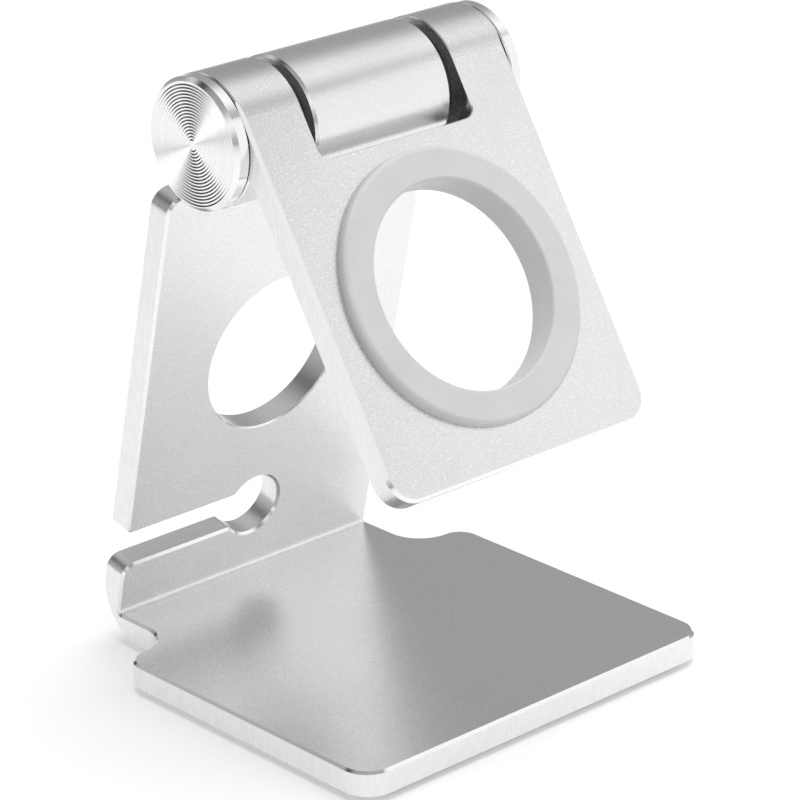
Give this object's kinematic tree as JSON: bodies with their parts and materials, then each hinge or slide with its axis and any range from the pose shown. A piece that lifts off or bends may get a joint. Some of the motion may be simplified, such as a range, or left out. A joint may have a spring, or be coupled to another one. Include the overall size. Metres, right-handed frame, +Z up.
{
  "type": "smartwatch stand",
  "caption": "Desk stand for a smartwatch: bent aluminium foot and leaning upright with a cable keyhole, and a friction-hinged tilting panel with a soft ring for a round charger.",
  "frame": {"origin": "centre of the foot pad's underside, at table level", "axes": "+X to the right, +Y to the rear, towards the upright, +Z up; the panel faces -Y"},
  "size_m": [0.062, 0.0622, 0.0859],
  "materials": {
    "satin_aluminium": "fine bead-blasted and clear anodised, with bright cut edges",
    "turned_aluminium": "turned with fine concentric grooves",
    "pad_rubber": "matt dark grey",
    "ring_silicone": "smooth light grey silicone",
    "steel": "ground",
    "spring_steel": "dark tempered",
    "plated_steel": "zinc plated",
    "slide_plastic": "matt black acetal",
    "insert_plastic": "natural nylon"
  },
  "bodies": {
    "stand": {"bracket": "satin_aluminium", "foot_pad": "pad_rubber", "hinge_shaft": "steel", "side_washer_left": "slide_plastic", "thrust_washer_left": "steel", "inner_spring_left": "spring_steel", "outer_spring_left": "spring_steel", "lock_nut_left": "plated_steel", "nut_insert_left": "insert_plastic", "side_washer_right": "slide_plastic", "thrust_washer_right": "steel", "inner_spring_right": "spring_steel", "outer_spring_right": "spring_steel", "lock_nut_right": "plated_steel", "nut_insert_right": "insert_plastic"},
    "panel": {"watch_panel": "satin_aluminium", "charger_ring": "ring_silicone", "hinge_bush_left": "slide_plastic", "end_cap_left": "turned_aluminium", "hinge_bush_right": "slide_plastic", "end_cap_right": "turned_aluminium"}
  },
  "joints": [
    {"name": "panel_tilt", "type": "hinge", "parent": "stand", "child": "panel", "pos_m": [0, 0.0135, 0.07714], "axis": [1, 0, 0], "range_deg": [-208, 55]}
  ]
}
